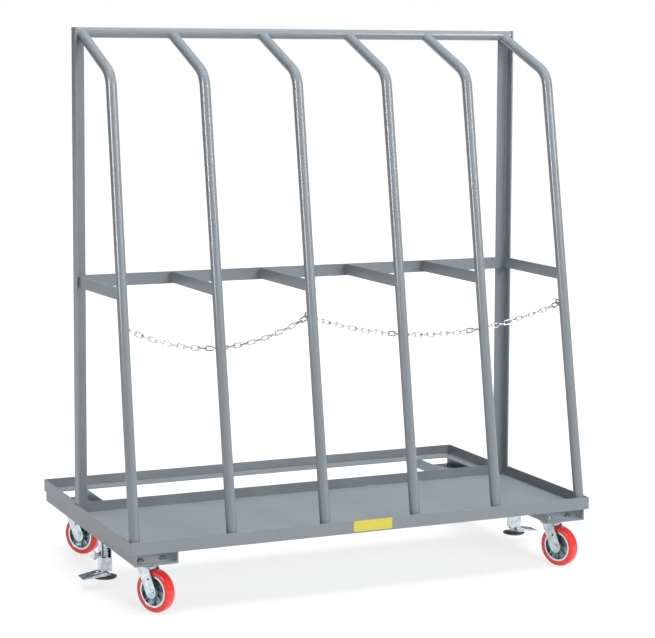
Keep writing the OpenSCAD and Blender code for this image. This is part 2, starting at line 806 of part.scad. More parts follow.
// Foot pedal between two cheeks, with the cross pin that holds it on the plunger's block
module lock_pedal(side) {
    tip = [-lock_x - pedal_reach, pad_z + 5];
    tip_top = tip + [0, pedal_t];
    pin = [0, pedal_pin_z];
    cheek_r = pedal_pin_r + 2;
    upper = tangent_point(tip_top, pin, cheek_r, -1);
    heel = tip_top + pedal_l * (upper - tip_top) / norm(upper - tip_top);
    color(zinc) at_lock(side) {
        for (y = [-pedal_w / 2, pedal_w / 2 - pedal_t])
            translate([0, y + pedal_t, 0]) rotate([90, 0, 0]) linear_extrude(pedal_t) {
                polygon([tip, tangent_point(tip, pin, cheek_r, 1), pin, upper, tip_top]);
                translate(pin) circle(cheek_r);
            }
        translate([0, pedal_w / 2 - pedal_t / 2, 0]) rotate([90, 0, 0])
            linear_extrude(pedal_w - pedal_t)
                polygon([tip, heel - [0, pedal_t], heel, tip_top]);
        translate([0, -pedal_w / 2 - pedal_pin_end, pedal_pin_z]) rotate([-90, 0, 0])
            cylinder(r = pedal_pin_r, h = pedal_w + 2 * pedal_pin_end);
    }
}

// Small pedal on the outer side of the housing that lets the plunger up again
module lock_release(side) {
    tread = [-release_l, 0];
    color(zinc) at_lock(side) translate([-release_x, 0, release_z]) {
        for (y = [-release_w / 2, release_w / 2 - pedal_t])
            translate([0, y + pedal_t, 0]) rotate([90, 0, 0]) linear_extrude(pedal_t) {
                circle(release_eye_r);
                rotate(-release_tilt)
                    polygon([[0, 0], tangent_point(tread + [0, release_h / 2], [0, 0], release_eye_r, -1),
                        tread + [0, release_h / 2], tread - [0, release_h / 2],
                        tangent_point(tread - [0, release_h / 2], [0, 0], release_eye_r, 1)]);
            }
        rotate([0, release_tilt, 0])
            translate([-release_l - pedal_t, -release_w / 2, -release_h / 2])
                cube([pedal_t, release_w, release_h]);
        translate([0, -release_w / 2 - release_pin_end, 0]) rotate([-90, 0, 0])
            cylinder(r = release_pin_r, h = release_w + 2 * release_pin_end);
    }
}

front_rail();
left_deck_rail();
right_deck_rail();
cross_rail();
deck();
rear_rail();
left_rear_rail();
right_rear_rail();
left_channel();
right_channel();
left_upright();
right_upright();
top_rail();
mid_rail();
chain_eyes();
for (i = [1 : tube_count]) tube(i);
for (i = [1 : tube_count]) arm(i);
chain(left_chain_x0, left_chain_x1, left_links);  // left_chain
chain(right_chain_x0, right_chain_x1, right_links);  // right_chain
mounting_bolts();
for (i = [0 : 3]) caster_plate(i);
for (i = [0 : 3]) fork(i);
for (i = [0 : 3]) axle(i);
for (i = [0 : 3]) hub(i);
for (i = [0 : 3]) tread(i);
for (s = ["left", "right"]) lock_housing(s);
for (s = ["left", "right"]) lock_plunger(s);
for (s = ["left", "right"]) lock_pad(s);
for (s = ["left", "right"]) lock_pedal(s);
for (s = ["left", "right"]) lock_release(s);
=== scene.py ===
# Finishes, weld beads, caster and floor lock details, light and camera for the mobile bar rack.
# Sizes are in millimetres from the rack's front left corner, until toFrame() turns them
# to the frame's metres.
import json
import math
import bmesh
import bpy
import numpy as np
from mathutils import Matrix, Vector


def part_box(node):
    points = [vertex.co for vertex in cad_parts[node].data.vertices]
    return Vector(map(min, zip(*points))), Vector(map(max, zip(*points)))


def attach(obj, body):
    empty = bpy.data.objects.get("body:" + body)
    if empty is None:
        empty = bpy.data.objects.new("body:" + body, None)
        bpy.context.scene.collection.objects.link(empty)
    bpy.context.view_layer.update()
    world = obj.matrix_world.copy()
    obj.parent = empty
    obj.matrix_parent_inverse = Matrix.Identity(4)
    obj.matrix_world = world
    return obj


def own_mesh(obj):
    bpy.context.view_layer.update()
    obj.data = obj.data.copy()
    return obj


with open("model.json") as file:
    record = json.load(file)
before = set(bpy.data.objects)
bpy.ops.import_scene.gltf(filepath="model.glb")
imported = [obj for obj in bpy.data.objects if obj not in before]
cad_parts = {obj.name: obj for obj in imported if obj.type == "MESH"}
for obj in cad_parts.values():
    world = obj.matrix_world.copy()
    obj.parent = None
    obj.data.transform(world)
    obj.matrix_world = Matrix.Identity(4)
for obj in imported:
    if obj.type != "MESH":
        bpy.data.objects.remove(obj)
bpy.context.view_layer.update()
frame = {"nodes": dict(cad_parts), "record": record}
print("frame loaded with", len(frame["nodes"]), "nodes")

rack = {
    "width": 1524, "depth": 914, "height": 1698,
    "frameBottom": 189, "deckTop": 194.9, "lipTop": 227.1,
}
corners = ["front_left", "front_right", "rear_left", "rear_right"]
sides = ["left", "right"]
width, deckTop, lipTop, frameBottom = (
    rack[k] for k in ("width", "deckTop", "lipTop", "frameBottom"))


# Each vector divided by its own length
def unit(vectors):
    return vectors / np.linalg.norm(vectors, axis=-1, keepdims=True)


# Four-sided faces of a grid of rows by columns, closed round its columns,
# and round its rows where asked
def gridFaces(rows, columns, closeRows=False):
    u = np.arange(rows if closeRows else rows - 1)[:, None]
    v = np.arange(columns)[None, :]
    nextU, nextV = (u + 1) % rows, (v + 1) % columns
    four = np.broadcast_arrays(
        u * columns + v, nextU * columns + v, nextU * columns + nextV, u * columns + nextV)
    return np.stack(four, -1).reshape(-1, 4)


# Round bar: at path point p(u) a circle of radius r(u) stands square to the path,
# so the surface is p + r (cos v side + sin v over). A radius of 0 closes an end.
def sweep(path, radius, up=(0, 0, 1), around=8, closed=False):
    path = np.asarray(path, float)
    ahead = np.roll(path, -1, 0) - np.roll(path, 1, 0) if closed else np.gradient(path, axis=0)
    side = unit(np.cross(unit(ahead), np.asarray(up, float)))
    over = np.cross(side, unit(ahead))
    v = np.linspace(0, 2 * np.pi, around, endpoint=False)[None, :, None]
    r = np.broadcast_to(radius, len(path))[:, None, None]
    points = path[:, None] + r * (np.cos(v) * side[:, None] + np.sin(v) * over[:, None])
    return points.reshape(-1, 3), gridFaces(len(path), around, closed)


# Turned piece: profile points (r, h) go round the axis,
# so the surface is centre + h axis + r (cos v side + sin v over).
# A ring's profile closes on itself, any other starts and ends on the axis.
def lathe(profile, centre=(0, 0, 0), axis=(0, 0, 1), around=48, ring=True):
    axis = unit(np.asarray(axis, float))
    side = unit(np.cross(axis, (0.0, 0.0, 1.0) if abs(axis[2]) < 0.9 else (1.0, 0.0, 0.0)))
    over = np.cross(axis, side)
    profile = np.asarray(profile, float)
    v = np.linspace(0, 2 * np.pi, around, endpoint=False)[None, :, None]
    r, h = profile[:, 0, None, None], profile[:, 1, None, None]
    points = np.asarray(centre, float) + h * axis + r * (np.cos(v) * side + np.sin(v) * over)
    return points.reshape(-1, 3), gridFaces(len(profile), around, ring)


# Straight bar: the closed outline of points (a, b) stands at start + a across + b up and is carried
# to the end, where it is capped as it is at the start
def bar(profile, start, end, across, up):
    profile = np.asarray(profile, float)
    outline = profile[:, :1] * np.asarray(across, float) + profile[:, 1:] * np.asarray(up, float)
    points = np.concatenate([outline + np.asarray(start, float), outline + np.asarray(end, float)])
    count = len(profile)
    caps = [list(range(count)), list(range(count, 2 * count))]
    return points, gridFaces(2, count).tolist() + caps


# The same shape again at each offset
def rowOf(shape, offsets):
    points, faces = shape
    offsets = np.asarray(offsets, float)
    faces = [list(f) for f in faces]
    count = len(points)
    allPoints = (points[None] + offsets[:, None]).reshape(-1, 3)
    return allPoints, [[i + k * count for i in f] for k in range(len(offsets)) for f in faces]


# Millimetres from the rack's front left corner as the frame's metres
def toFrame(points):
    return (np.asarray(points, float) - (rack["width"] / 2, rack["depth"] / 2, 0)) / 1000


# Metres within which points merge and edges collapse, and the angle that makes an edge crisp
meshCare = {"merge": 2e-6, "collapse": 1e-6, "sharp": math.radians(40)}


# Joins shapes into one object in the frame's metres, closes its poles, turns its faces out
# and puts it on its body
def place(name, shapes, material, body, smooth=True):
    points, faces, count = [], [], 0
    for shapePoints, shapeFaces in shapes:
        points.append(shapePoints)
        faces += [[int(i) + count for i in f] for f in shapeFaces]
        count += len(shapePoints)
    mesh = bpy.data.meshes.new(name)
    mesh.from_pydata(toFrame(np.concatenate(points)).tolist(), [], faces)
    work = bmesh.new()
    work.from_mesh(mesh)
    bmesh.ops.remove_doubles(work, verts=work.verts, dist=meshCare["merge"])
    bmesh.ops.dissolve_degenerate(work, edges=work.edges, dist=meshCare["collapse"])
    bmesh.ops.recalc_face_normals(work, faces=work.faces)
    work.to_mesh(mesh)
    work.free()
    mesh.materials.append(material)
    mesh.polygons.foreach_set("use_smooth", np.full(len(mesh.polygons), smooth))
    if smooth:
        mesh.set_sharp_from_angle(angle=meshCare["sharp"])
    piece = bpy.data.objects.new(name, mesh)
    bpy.context.scene.collection.objects.link(piece)
    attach(piece, body)
    return piece


# Left side's points on the right side
def mirrored(points):
    return np.asarray(points, float) * (-1, 1, 1) + (rack["width"], 0, 0)


# Shapes of the left side and the same shapes mirrored to the right side
def onBothSides(shapes):
    return list(shapes) + [(mirrored(points), faces) for points, faces in shapes]


# Linear colour of an sRGB hex value: c / 12.92 where c is dark,
# and ((c + 0.055) / 1.055) to the power 2.4 elsewhere
def linear(code):
    c = np.array([int(code[i:i + 2], 16) for i in (1, 3, 5)]) / 255
    c = np.where(c <= 0.04045, c / 12.92, ((c + 0.055) / 1.055) ** 2.4)
    return (*c.tolist(), 1.0)


# Adds a node, gives it its settings by name or socket number,
# and joins its inputs to the outputs given
def addNode(tree, kind, settings=None, links=None):
    node = tree.nodes.new("ShaderNode" + kind)
    for key, value in (settings or {}).items():
        if isinstance(key, str) and hasattr(node, key):
            setattr(node, key, value)
        else:
            node.inputs[key].default_value = value
    for key, source in (links or {}).items():
        tree.links.new(source, node.inputs[key])
    return node


# New material with its shader's fixed values set, and the place of a point on its piece
def startMaterial(name, settings):
    material = bpy.data.materials.new(name)
    material.use_nodes = True
    tree = material.node_tree
    shader = tree.nodes["Principled BSDF"]
    for key, value in settings.items():
        shader.inputs[key].default_value = value
    return material, tree, shader, addNode(tree, "TexCoord").outputs["Object"]


# Joins outputs to the shader's inputs of these names
def feed(tree, shader, outputs):
    for name, output in outputs.items():
        tree.links.new(output, shader.inputs[name])


# Output of a noise whose features are about sizeMm across
def noise(tree, vector, sizeMm, detail=2.0, roughness=0.5):
    settings = {"Scale": 1000 / sizeMm, "Detail": detail, "Roughness": roughness}
    return addNode(tree, "TexNoise", settings, {"Vector": vector}).outputs["Fac"]


# Value carried from the range low..high to the range toLow..toHigh
def between(tree, value, low, high, toLow, toHigh):
    return addNode(tree, "MapRange", {1: low, 2: high, 3: toLow, 4: toHigh}, {0: value}).outputs[0]


# Colour between two colours, each of them an output or a hex value
def blendColours(tree, factor, first, second):
    node = addNode(tree, "Mix", {"data_type": "RGBA"}, {0: factor})
    for socket, colour in ((6, first), (7, second)):
        if isinstance(colour, str):
            node.inputs[socket].default_value = linear(colour)
        else:
            tree.links.new(colour, node.inputs[socket])
    return node.outputs[2]


# Normal of a relief of the given depth
def bump(tree, height, depthMm, strength, normal=None):
    return addNode(tree, "Bump", {"Distance": depthMm / 1000, "Strength": strength},
        {"Height": height, **({"Normal": normal} if normal else {})}).outputs[0]


paint = {
    "tone": "#757D82", "shade": "#70777C", "cloudMm": 160,
    # sharp edges drawn lighter: a painted highlight, and partly the thinner coat there, told by how
    # far the rounded normal turns
    "edge": "#90979B", "edgeMm": 1.2, "edgeMost": 0.5, "edgeFrom": 0.97, "edgeTo": 0.85,
    "sheenMm": 45,
    # real orange peel is about 1 mm, drawn coarser so that it shows
    "peelMm": 3.2, "peelDepthMm": 0.08,
}


# Powder coat on rolled steel, sprayed as dust and baked: thick, semi-gloss and dimpled
# like orange peel. Its roughness runs from low to high, and relief is the dimples' strength.
def greyPowderCoat(name, low, high, relief):
    material, tree, shader, at = startMaterial(name, {"IOR": 1.5})
    colour = blendColours(tree, noise(tree, at, paint["cloudMm"], 3), paint["shade"], paint["tone"])
    rounded = addNode(tree, "Bevel", {"samples": 4, "Radius": paint["edgeMm"] / 1000}).outputs[0]
    flat = addNode(tree, "NewGeometry").outputs["Normal"]
    facing = addNode(tree, "VectorMath", {"operation": "DOT_PRODUCT"}, {0: rounded, 1: flat})
    # painted highlight: sharp edges are lightened, partly also for the thinner coat there
    edge = between(tree, facing.outputs["Value"],
        paint["edgeFrom"], paint["edgeTo"], 0, paint["edgeMost"])
    peel = noise(tree, at, paint["peelMm"], 1)
    feed(tree, shader, {
        "Base Color": blendColours(tree, edge, colour, paint["edge"]),
        "Roughness": between(tree, noise(tree, at, paint["sheenMm"], 4), 0.3, 0.7, low, high),
        "Normal": bump(tree, peel, paint["peelDepthMm"], relief, rounded)})
    return material


# The grain left by pressing is really under 0.5 mm, drawn coarser so that it shows
zinc = {"cloudMm": 22, "grainMm": 1.5, "grainDepthMm": 0.03, "grainRelief": 0.08}


# Zinc electroplate on stamped steel: cold grey metal with a faint blue passivated sheen
# and cloudy dull patches
def brightZinc(name, light, dull, rough):
    material, tree, shader, at = startMaterial(name, {"Metallic": 1.0})
    clouds = noise(tree, at, zinc["cloudMm"], 3)
    feed(tree, shader, {
        "Base Color": blendColours(tree, between(tree, clouds, 0.35, 0.65, 0, 1), light, dull),
        "Roughness": between(tree, clouds, 0.3, 0.7, rough[0], rough[1]),
        "Normal": bump(tree, noise(tree, at, zinc["grainMm"], 2),
            zinc["grainDepthMm"], zinc["grainRelief"])})
    return material


caster = {
    "turns": {"front_left": 30, "front_right": 23, "rear_left": 34, "rear_right": 27},   # degrees
    "trail": 36, "axleHeight": 63.5, "forkHalf": 23, "nut": 6, "hubHalf": 17.6,
    # metres along the axle from the wheel's middle to the hub's turned faces
    "turnedFrom": 0.0128, "turnedTo": 0.0138,
    # metres from the wheel's centre to the tread's worn band
    "rollingFrom": 0.0615, "rollingTo": 0.0633,
}


# Centre and axle direction of a corner's wheel in the frame's metres
def wheelPlace(corner):
    low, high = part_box("tread_" + corner)
    turn = math.radians(caster["turns"][corner])
    return (low + high) / 2, Vector((math.cos(turn), math.sin(turn), 0))


# The grain that a sand mould leaves is really near 0.8 mm, drawn coarser so that it shows
casting = {
    "dark": "#5D6E76", "pale": "#97A7AD", "turned": "#DADDDE", "cloudMm": 12,
    "grainMm": 2.5, "grainDepthMm": 0.1, "grainRelief": 0.3,
}


# Cast aluminium core: faces turned bright on the lathe, recesses left as cast and blue-grey
def machinedHub(corner):
    centre, axle = wheelPlace(corner)
    material, tree, shader, at = startMaterial("castHub_" + corner, {"Metallic": 0.85})
    out = addNode(tree, "VectorMath", {"operation": "SUBTRACT", 1: centre}, {0: at}).outputs[0]
    along = addNode(tree, "VectorMath", {"operation": "DOT_PRODUCT", 1: axle}, {0: out})
    away = addNode(tree, "Math", {"operation": "ABSOLUTE"}, {0: along.outputs["Value"]})
    face = between(tree, away.outputs[0], caster["turnedFrom"], caster["turnedTo"], 0, 1)
    clouds = between(tree, noise(tree, at, casting["cloudMm"], 2), 0.35, 0.65, 0, 1)
    asCast = blendColours(tree, clouds, casting["dark"], casting["pale"])
    grain = noise(tree, at, casting["grainMm"], 3, 0.6)
    feed(tree, shader, {
        "Base Color": blendColours(tree, face, asCast, casting["turned"]),
        "Roughness": between(tree, face, 0, 1, 0.38, 0.26),
        "Normal": bump(tree, grain, casting["grainDepthMm"], casting["grainRelief"])})
    return material


urethane = {
    "deep": "#E2231F", "bright": "#EB2A26", "cloudMm": 30,
    "scuffed": "#C9453C", "scuffMost": 0.3, "scuffMm": 4, "scuffDepthMm": 0.03, "scuffRelief": 0.06,
}


# Cast polyurethane tread: glassy bright red, a little deeper in random clouds,
# with fine scuffs where it rolls
def redUrethane(corner):
    centre, axle = wheelPlace(corner)
    material, tree, shader, at = startMaterial("redUrethane_" + corner, {
        "IOR": 1.5, "Coat Weight": 0.4, "Coat Roughness": 0.08})
    out = addNode(tree, "VectorMath", {"operation": "SUBTRACT", 1: centre}, {0: at}).outputs[0]
    away = addNode(tree, "VectorMath", {"operation": "LENGTH"}, {0: out}).outputs["Value"]
    rolling = between(tree, away, caster["rollingFrom"], caster["rollingTo"], 0, 1)
    scuffs = noise(tree, at, urethane["scuffMm"], 5, 0.65)
    scuffed = between(tree, scuffs, 0.55, 0.8, 0, urethane["scuffMost"])
    worn = addNode(tree, "Math", {"operation": "MULTIPLY"}, {0: rolling, 1: scuffed}).outputs[0]
    clouds = noise(tree, at, urethane["cloudMm"])
    fresh = blendColours(tree, clouds, urethane["deep"], urethane["bright"])
    feed(tree, shader, {
        "Base Color": blendColours(tree, worn, fresh, urethane["scuffed"]),
        "Roughness": between(tree, worn, 0, 0.5, 0.24, 0.45),
        "Normal": bump(tree, scuffs, urethane["scuffDepthMm"], urethane["scuffRelief"])})
    return material


moulding = {
    "bare": "#4B4D49", "dusty": "#6A6C66", "dustMm": 14,
    "grainMm": 1.2, "grainDepthMm": 0.1, "grainRelief": 0.4,
}


# Moulded black rubber: matt, greyed by bloom and floor dust
def mouldedRubber():
    material, tree, shader, at = startMaterial("mouldedRubber", {"IOR": 1.52})
    dust = noise(tree, at, moulding["dustMm"], 4, 0.6)
    covered = between(tree, dust, 0.4, 0.75, 0, 1)
    feed(tree, shader, {
        "Base Color": blendColours(tree, covered, moulding["bare"], moulding["dusty"]),
        "Roughness": between(tree, dust, 0.3, 0.7, 0.42, 0.6),
        "Normal": bump(tree, noise(tree, at, moulding["grainMm"], 2),
            moulding["grainDepthMm"], moulding["grainRelief"])})
    return material


film = {"deep": "#B7AC30", "pale": "#C0B53C", "waveMm": 22, "waveDepthMm": 0.3, "waveRelief": 0.15}


# Cut vinyl film pressed on by hand: flat yellow, satin, with slow waves from the squeegee
def yellowVinyl():
    material, tree, shader, at = startMaterial("yellowVinyl", {
        "IOR": 1.5, "Coat Weight": 0.3, "Coat Roughness": 0.15})
    waves = noise(tree, at, film["waveMm"], 1)
    feed(tree, shader, {
        "Base Color": blendColours(tree, waves, film["deep"], film["pale"]),
        "Roughness": between(tree, waves, 0.3, 0.7, 0.3, 0.42),
        "Normal": bump(tree, waves, film["waveDepthMm"], film["waveRelief"])})
    return material


# The coat flows smoother on drawn tube
powderCoat = greyPowderCoat("greyPowderCoat", 0.35, 0.375, 0.08)
tubeCoat = greyPowderCoat("greyTubeCoat", 0.21, 0.26, 0.02)
zincPlate = brightZinc("brightZinc", "#D2D8DB", "#A9B9C1", (0.2, 0.28))
zincWire = brightZinc("zincWire", "#E6E7E8", "#C9CCCE", (0.38, 0.5))
rubber = mouldedRubber()
vinyl = yellowVinyl()
hubMetal = {corner: machinedHub(corner) for corner in corners}
treadRed = {corner: redUrethane(corner) for corner in corners}
slots = {part["node"]: part["material_slot"] for part in frame["record"]["subparts"]}


# Material of a CAD node, told by the slot that its record names
def finishFor(node):
    corner = next((c for c in corners if node.endswith(c)), None)
    drawnTube = node.startswith("tube") or node == "top_rail"
    finishes = {
        "paint": tubeCoat if drawnTube else powderCoat, "zinc": zincPlate,
        "chain_steel": zincWire, "pad_rubber": rubber,
        "hub_iron": hubMetal.get(corner), "red_tread": treadRed.get(corner),
    }
    return finishes[slots[node]]


for name, piece in frame["nodes"].items():
    piece.data.materials.clear()
    piece.data.materials.append(finishFor(name))
print("finishes on", len(slots), "nodes")


tube = {
    "count": 6, "radius": 15.9, "footX": 21.6, "footY": 21, "bay": 300,
    "lean": math.radians(9.37), "sideLean": math.radians(0.38),
    # the upper stretch is aimed a little below the top rail's axis
    "rise": math.radians(23.1), "aimDrop": 5.5,
    "footRing": (16.6, 16.8), "footLift": 0.8, "footBead": 2.6,
}
topRail = {
    "y": 524.15, "z": 1682.1, "bendDrop": 124,
    # lines of a tube's wall that only graze the rail are left out of its bead
    "saddleBead": 1.8, "saddleSide": (0, 1, 0.3), "graze": 0.2,
    "endX": 8.6, "endRing": 16.2, "endBead": 1.7, "endArc": (math.radians(125), math.radians(415)),
}
arm = {
    "low": 905, "high": 940, "half": 2.4, "wall": 13.1,
    "bead": 2.0, "beadOut": 3.0, "endGap": 1, "frontProud": 0.6, "rearProud": 0.5, "clear": 9,
}
midRail = {"y": 535.4, "low": 902, "endX": 8.7, "bead": 1.9, "proud": 0.3}
# Spacing of a bead's ripples, its radius between them and its swell as parts of its size,
# the run of its rounded ends in sizes, and how finely it is drawn
weld = {"ripple": 2.4, "neck": 0.95, "swell": 0.12, "endRun": 1.5, "perRipple": 4, "leastSteps": 6}
# A bead that runs up and down takes its circles' side from this direction
depthwise = (0, 1, 0)


# X of tube i's centre line at the deck
def footX(i):
    if i <= 4:
        return tube["footX"] + (i - 1) * tube["bay"]
    return rack["width"] - tube["footX"] - (tube["count"] - i) * tube["bay"]


# X of tube i's centre line at height z
def tubeX(i, z):
    leaning = {1: 1, tube["count"]: -1}.get(i, 0)
    sideways = math.tan(leaning * tube["sideLean"])
    return footX(i) + (z - deckTop) * sideways / math.cos(tube["lean"])


# Y of the tubes' centre lines at height z
def tubeY(z):
    return tube["footY"] + (z - deckTop) * math.tan(tube["lean"])


# Weld bead: a bar whose radius swells at each ripple and, where it is open,
# rounds off at both ends
def bead(path, size, up=(0, 0, 1), closed=False):
    path = np.asarray(path, float)
    steps = np.linalg.norm(np.diff(path, axis=0), axis=1)
    length = steps.sum()
    count = max(weld["leastSteps"], int(length / weld["ripple"] * weld["perRipple"]))
    travelled = np.concatenate([[0], np.cumsum(steps)])
    s = np.linspace(0, length, count, endpoint=not closed)
    fine = np.stack([np.interp(s, travelled, path[:, k]) for k in range(3)], 1)
    radius = size * (weld["neck"] + weld["swell"] * np.abs(np.sin(np.pi * s / weld["ripple"])))
    if not closed:
        ends = np.minimum(s, length - s) / (weld["endRun"] * size)
        radius = radius * np.sqrt(1 - (1 - np.clip(ends, 0, 1)) ** 2)
    return sweep(fine, radius, up, closed=closed)


# Level ellipse, back to its start
def ringPath(x, y, z, radiusX, radiusY, steps=64):
    t = np.linspace(0, 2 * np.pi, steps + 1)
    return np.stack([x + radiusX * np.cos(t), y + radiusY * np.sin(t), np.full_like(t, z)], 1)


# Line in which tube i's upper stretch meets the top rail: along each line of the tube's wall,
# at its distance t before the rail's axis where (a + t d) squared is the rail's radius squared
def saddlePath(i):
    rise, r = tube["rise"], tube["radius"]
    theta = np.linspace(-0.5 * np.pi, 1.5 * np.pi, 121)
    normal = np.array([-math.sin(rise), math.cos(rise)])   # in the YZ plane, from the rail's axis
    ahead = np.array([math.cos(rise), math.sin(rise)])
    start = np.array([0, -tube["aimDrop"]]) + r * np.sin(theta)[:, None] * normal
    along = start @ ahead
    under = along ** 2 - (start ** 2).sum(1) + r ** 2
    meets = under > topRail["graze"]
    t = -along[meets] - np.sqrt(under[meets])
    places = start[meets] + t[:, None] * ahead
    x = tubeX(i, topRail["z"] - topRail["bendDrop"]) + r * np.cos(theta[meets])
    return np.stack([x, topRail["y"] + places[:, 0], topRail["z"] + places[:, 1]], 1)


footWelds, armWelds, railWelds = [], [], []
tubeBack = math.sqrt(tube["radius"] ** 2 - arm["half"] ** 2) / math.cos(tube["lean"])
armReach = tubeBack + arm["frontProud"]
armEnds = (arm["low"] + arm["endGap"], arm["high"] - arm["endGap"])
for i in range(1, tube["count"] + 1):
    footRing = ringPath(footX(i), tube["footY"], deckTop + tube["footLift"], *tube["footRing"])
    footWelds.append(bead(footRing, tube["footBead"], closed=True))
    railWelds.append(bead(saddlePath(i), topRail["saddleBead"], up=topRail["saddleSide"]))
    wallX = arm["wall"] - arm["half"]
    rearX = {1: wallX, tube["count"]: width - wallX}.get(i, footX(i))
    for side in (-1, 1):
        out = side * arm["beadOut"]
        paths = [[[tubeX(i, h) + out, tubeY(h) + armReach, h] for h in armEnds]]
        # the outer side of an end arm lies against its upright, where no bead fits
        if abs(rearX + out - width / 2) < width / 2 - arm["clear"]:
            paths.append([[rearX + out, midRail["y"] - arm["rearProud"], h] for h in armEnds])
        armWelds += [bead(path, arm["bead"], depthwise) for path in paths]
place("foot_welds", footWelds, powderCoat, "rack")
place("arm_welds", armWelds, powderCoat, "rack")

# The top rail is welded to the uprights all round but at the top, which is ground flush
t = np.linspace(*topRail["endArc"], 60)
ringY = topRail["y"] + topRail["endRing"] * np.cos(t)
ringZ = topRail["z"] + topRail["endRing"] * np.sin(t)
for x in (topRail["endX"], width - topRail["endX"]):
    ringAt = np.stack([np.full_like(t, x), ringY, ringZ], 1)
    railWelds.append(bead(ringAt[::-1], topRail["endBead"], up=(1, 0, 0)))
midEnd = [[midRail["endX"], midRail["y"] - midRail["proud"], h]
    for h in (midRail["low"] + arm["endGap"], arm["high"] - arm["endGap"])]
railWelds += [bead(path, midRail["bead"], depthwise) for path in (midEnd, mirrored(midEnd))]
place("rail_welds", railWelds, powderCoat, "rack")
print("tube, arm and rail welds laid")


base = {
    # rounded inner corner of a rolled section, sunk into its faces
    "rootRadius": 4.5, "rootSink": 0.2,
    # length and spacing of the short beads
    "stitch": 38, "stitchPitch": 168,
    "seamIn": 4.2, "seamEnd": 60, "seamLift": 0.4, "seamBead": 1.8,
    "crossSeamY": 544.2, "sideSeamEndY": 480,
    # x, y, lowest point, highest point and size of each bead that runs up a corner in the lips
    "cornerBeads": (
        (3.9, 506.4, 195.9, 226.1, 2), (4.6, 4.6, 196.9, 225.6, 2), (8, 549.2, 194, 225.1, 1.8),
        (14.6, 909.4, 194, 225.6, 2.2), (14.4, 549.8, 194, 225.6, 2.2)),
}
upright = {
    "frontY": 508, "rootX": 8, "rootY": 540.2,
    # bead along its side on the lip, and bead round its foot on the deck
    "lipX": 3.4, "lipRearY": 543, "lipLift": 0.3, "lipBead": 1.8,
    "footX": 8.4, "footEndX": 40, "footRearY": 539.6, "footLift": 0.8, "footBead": 2.2,
}
rearFrame = {"floor": 192.2, "sideX": 13.2, "sideY": (548.3, 910.6), "endX": 13.4, "endY": 910.8}
channel = {
    "outerX": 21, "innerX": 142.4, "floor": 159.8, "frontY": 1.5, "rearY": 912.5,
    "seamX": 15.6, "seamY": (30, 884), "seamDrop": 0.4, "seamBead": 2.2,
    "mouthX": (21, 132), "mouthY": 2.2, "mouthRun": 10, "mouthDrop": 0.3, "mouthBead": 1.4,
    "crossingX": (142, 147), "crossingY": (38.6, 509.6, 875.4),
    "crossingLift": 0.2, "crossingBead": 1.6,
}
toRight, toLeft, toFront, upward = (1, 0, 0), (-1, 0, 0), (0, -1, 0), (0, 0, 1)


# Rounded root of a rolled section: the corner between two faces is filled up to a quarter circle
# of points (r - r cos t, r - r sin t)
def rootFillet(start, end, across, up):
    r, sink = base["rootRadius"], -base["rootSink"]
    t = np.linspace(0, np.pi / 2, 9)
    curve = np.stack([r - r * np.cos(t), r - r * np.sin(t)], 1)
    profile = np.concatenate([[[sink, sink]], [[sink, r]], curve, [[r, sink]]])
    return bar(profile, start, end, across, up)


# Short beads at even spaces along a joint
def stitches(start, end, size):
    start, end = np.asarray(start, float), np.asarray(end, float)
    length = np.linalg.norm(end - start)
    count = max(2, round(length / base["stitchPitch"]))
    ahead = (end - start) / length
    middles = [start + ahead * length * (k + 0.5) / count for k in range(count)]
    half = base["stitch"] / 2
    return [bead([m - ahead * half, m + ahead * half], size) for m in middles]


seamZ, seamIn, seamBead = deckTop + base["seamLift"], base["seamIn"], base["seamBead"]
seamX = (base["seamEnd"], width - base["seamEnd"])
seamY = (base["seamEnd"], base["sideSeamEndY"])
frameWelds = [b for y in (seamIn, base["crossSeamY"])
    for b in stitches(*[[x, y, seamZ] for x in seamX], seamBead)]
frameWelds += onBothSides(stitches(*[[seamIn, y, seamZ] for y in seamY], seamBead))
frameWelds += onBothSides([bead([[x, y, low], [x, y, high]], size, depthwise)
    for x, y, low, high, size in base["cornerBeads"]])
lipZ, footZ = lipTop + upright["lipLift"], deckTop + upright["footLift"]
lipPath = [[upright["lipX"], y, lipZ] for y in (upright["frontY"], upright["lipRearY"])]
footPath = [[upright["footX"], upright["frontY"], footZ],
    *[[x, upright["footRearY"], footZ] for x in (upright["footX"], upright["footEndX"])]]
frameWelds += onBothSides(
    [bead(lipPath, upright["lipBead"]), bead(footPath, upright["footBead"])])
place("frame_welds", frameWelds, powderCoat, "rack")

seam = [[channel["seamX"], y, frameBottom - channel["seamDrop"]] for y in channel["seamY"]]
channelWelds = stitches(*seam, channel["seamBead"])
mouthZ, crossingZ = frameBottom - channel["mouthDrop"], frameBottom + channel["crossingLift"]
for x in channel["mouthX"]:
    ends = [[endX, channel["mouthY"], mouthZ] for endX in (x, x + channel["mouthRun"])]
    channelWelds.append(bead(ends, channel["mouthBead"]))
for y in channel["crossingY"]:
    ends = [[x, y, crossingZ] for x in channel["crossingX"]]
    channelWelds.append(bead(ends, channel["crossingBead"]))
place("channel_welds", onBothSides(channelWelds), powderCoat, "rack")

uprightRoot = [[upright["rootX"], upright["rootY"], z] for z in (deckTop, rack["height"])]
outerRoot, innerRoot = ([[channel[k], y, channel["floor"]]
    for y in (channel["frontY"], channel["rearY"])] for k in ("outerX", "innerX"))
sideRoot = [[rearFrame["sideX"], y, rearFrame["floor"]] for y in rearFrame["sideY"]]
endRoot = [[x, rearFrame["endY"], rearFrame["floor"]]
    for x in (rearFrame["endX"], width - rearFrame["endX"])]
roots = onBothSides([
    rootFillet(*uprightRoot, toRight, toFront),
    rootFillet(*outerRoot, toRight, upward),
    rootFillet(*innerRoot, toLeft, upward),
    rootFillet(*sideRoot, toRight, upward),
]) + [rootFillet(*endRoot, toFront, upward)]
place("rolled_roots", roots, powderCoat, "rack")

